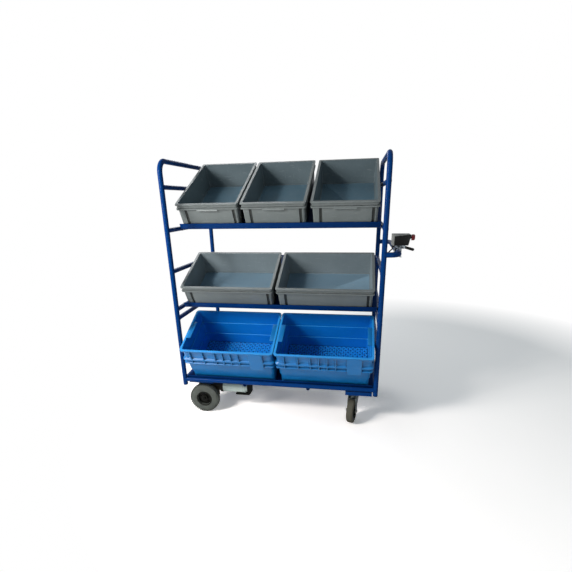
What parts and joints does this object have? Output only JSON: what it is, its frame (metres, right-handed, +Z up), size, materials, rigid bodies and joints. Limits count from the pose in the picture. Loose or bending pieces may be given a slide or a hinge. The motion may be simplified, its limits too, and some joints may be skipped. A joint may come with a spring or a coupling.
{
  "type": "order picking trolley",
  "caption": "Blue tube trolley with three forward-sloping trays of open containers, a push handle with control head, driven wheels at one end and swivel castors at the other.",
  "frame": {"origin": "middle of the overall box, on the floor", "axes": "+Z up, +X along the trolley from the driven end to the handle end, +Y from the open front to the rear"},
  "size_m": [1.4802, 0.8632, 1.6633],
  "materials": {
    "frame_paint": "gloss powder coat, dark blue",
    "tray_paint": "satin powder coat, dark blue",
    "grey_plastic": "fine grained grey polypropylene",
    "blue_plastic": "satin bright blue polypropylene",
    "drive_rubber": "grey solid rubber",
    "castor_rubber": "olive grey elastic rubber",
    "black_plastic": "moulded black plastic",
    "head_plastic": "moulded black plastic",
    "cover_plastic": "moulded light grey plastic",
    "red_plastic": "gloss red plastic",
    "cable_rubber": "black cable sheath",
    "bracket_chrome": "bright plated steel",
    "zinc_steel": "zinc plated pressed steel",
    "gearbox_paint": "dark cast gear case",
    "motor_paint": "pale grey green enamel",
    "black_paint": "black coated steel",
    "battery_plastic": "black case",
    "controller_metal": "anodised case with fins",
    "bolt_steel": "zinc plated fasteners"
  },
  "bodies": {
    "frame": {"end_hoop_left": "frame_paint", "end_rungs_left": "frame_paint", "end_hoop_right": "frame_paint", "end_rungs_right": "frame_paint", "base_rails": "frame_paint", "cross_tubes": "frame_paint", "drive_beam": "frame_paint", "castor_beam": "frame_paint", "tray_lower": "tray_paint", "tray_middle": "tray_paint", "tray_upper": "tray_paint", "frame_bolts": "bolt_steel", "foot_plugs": "black_plastic", "push_handle": "frame_paint", "head_bracket": "bracket_chrome", "head_clamp": "bracket_chrome", "head_clamp_bolts": "bolt_steel", "head_housing": "head_plastic", "head_cover": "cover_plastic", "button_collar": "head_plastic", "lever_pin": "bolt_steel", "control_cable": "cable_rubber", "cable_glands": "head_plastic", "gearbox_front": "gearbox_paint", "drive_motor_front": "motor_paint", "gearbox_rear": "gearbox_paint", "drive_motor_rear": "motor_paint", "motor_caps": "motor_paint", "drive_brackets": "black_paint", "motor_hangers": "black_paint", "castor_plates": "zinc_steel", "castor_kingpins": "zinc_steel", "battery_deck": "black_paint", "battery_pack": "battery_plastic", "motor_controller": "controller_metal"},
    "bin_top_left": {"bin_top_left": "grey_plastic"},
    "bin_top_middle": {"bin_top_middle": "grey_plastic"},
    "bin_top_right": {"bin_top_right": "grey_plastic"},
    "bin_middle_left": {"bin_middle_left": "grey_plastic"},
    "bin_middle_right": {"bin_middle_right": "grey_plastic"},
    "crate_left": {"crate_left": "blue_plastic"},
    "crate_right": {"crate_right": "blue_plastic"},
    "stop_button": {"stop_button": "red_plastic"},
    "drive_lever": {"drive_lever": "head_plastic"},
    "drive_wheel_front": {"drive_tyre_front": "drive_rubber", "drive_rim_front": "black_plastic", "drive_axle_front": "black_paint", "wheel_fasteners_front": "black_paint"},
    "castor_swivel_front": {"castor_fork_front": "zinc_steel", "castor_axle_front": "bolt_steel"},
    "castor_wheel_front": {"castor_rim_front": "black_plastic", "castor_tyre_front": "castor_rubber"},
    "drive_wheel_rear": {"drive_tyre_rear": "drive_rubber", "drive_rim_rear": "black_plastic", "drive_axle_rear": "black_paint", "wheel_fasteners_rear": "black_paint"},
    "castor_swivel_rear": {"castor_fork_rear": "zinc_steel", "castor_axle_rear": "bolt_steel"},
    "castor_wheel_rear": {"castor_rim_rear": "black_plastic", "castor_tyre_rear": "castor_rubber"}
  },
  "joints": [
    {"name": "bin_top_left_lift", "type": "slide", "parent": "frame", "child": "bin_top_left", "axis": [0, -0.4462, 0.8949], "range_m": [0, 0.25]},
    {"name": "bin_top_middle_lift", "type": "slide", "parent": "frame", "child": "bin_top_middle", "axis": [0, -0.4462, 0.8949], "range_m": [0, 0.25]},
    {"name": "bin_top_right_lift", "type": "slide", "parent": "frame", "child": "bin_top_right", "axis": [0, -0.4462, 0.8949], "range_m": [0, 0.25]},
    {"name": "bin_middle_left_lift", "type": "slide", "parent": "frame", "child": "bin_middle_left", "axis": [0, -0.4462, 0.8949], "range_m": [0, 0.2]},
    {"name": "bin_middle_right_lift", "type": "slide", "parent": "frame", "child": "bin_middle_right", "axis": [0, -0.4462, 0.8949], "range_m": [0, 0.2]},
    {"name": "crate_left_lift", "type": "slide", "parent": "frame", "child": "crate_left", "axis": [0, -0.4462, 0.8949], "range_m": [0, 0.1]},
    {"name": "crate_right_lift", "type": "slide", "parent": "frame", "child": "crate_right", "axis": [0, -0.4462, 0.8949], "range_m": [0, 0.1]},
    {"name": "stop_button_press", "type": "slide", "parent": "frame", "child": "stop_button", "axis": [-1, 0, 0], "range_m": [0, 0.004], "stiffness_N_per_m": 900, "springref_m": -0.004},
    {"name": "drive_lever_squeeze", "type": "hinge", "parent": "frame", "child": "drive_lever", "pos_m": [0.67637, -0.17042, 1.1415], "axis": [0, -1, 0], "range_deg": [0, 14], "stiffness_Nm_per_rad": 1.2, "springref_deg": -8.59},
    {"name": "drive_wheel_front_spin", "type": "hinge", "parent": "frame", "child": "drive_wheel_front", "pos_m": [-0.61113, -0.26342, 0.105], "axis": [0, 1, 0], "continuous": true},
    {"name": "castor_front_swivel", "type": "hinge", "parent": "frame", "child": "castor_swivel_front", "pos_m": [0.42587, -0.21942, 0.223], "axis": [0, 0, 1], "continuous": true},
    {"name": "castor_front_roll", "type": "hinge", "parent": "castor_swivel_front", "child": "castor_wheel_front", "pos_m": [0.41652, -0.26344, 0.08], "axis": [0.9781, -0.2079, 0], "continuous": true},
    {"name": "drive_wheel_rear_spin", "type": "hinge", "parent": "frame", "child": "drive_wheel_rear", "pos_m": [-0.61113, 0.37258, 0.105], "axis": [0, 1, 0], "continuous": true},
    {"name": "castor_rear_swivel", "type": "hinge", "parent": "frame", "child": "castor_swivel_rear", "pos_m": [0.42587, 0.32858, 0.223], "axis": [0, 0, 1], "continuous": true},
    {"name": "castor_rear_roll", "type": "hinge", "parent": "castor_swivel_rear", "child": "castor_wheel_rear", "pos_m": [0.41652, 0.28456, 0.08], "axis": [0.9781, -0.2079, 0], "continuous": true}
  ]
}
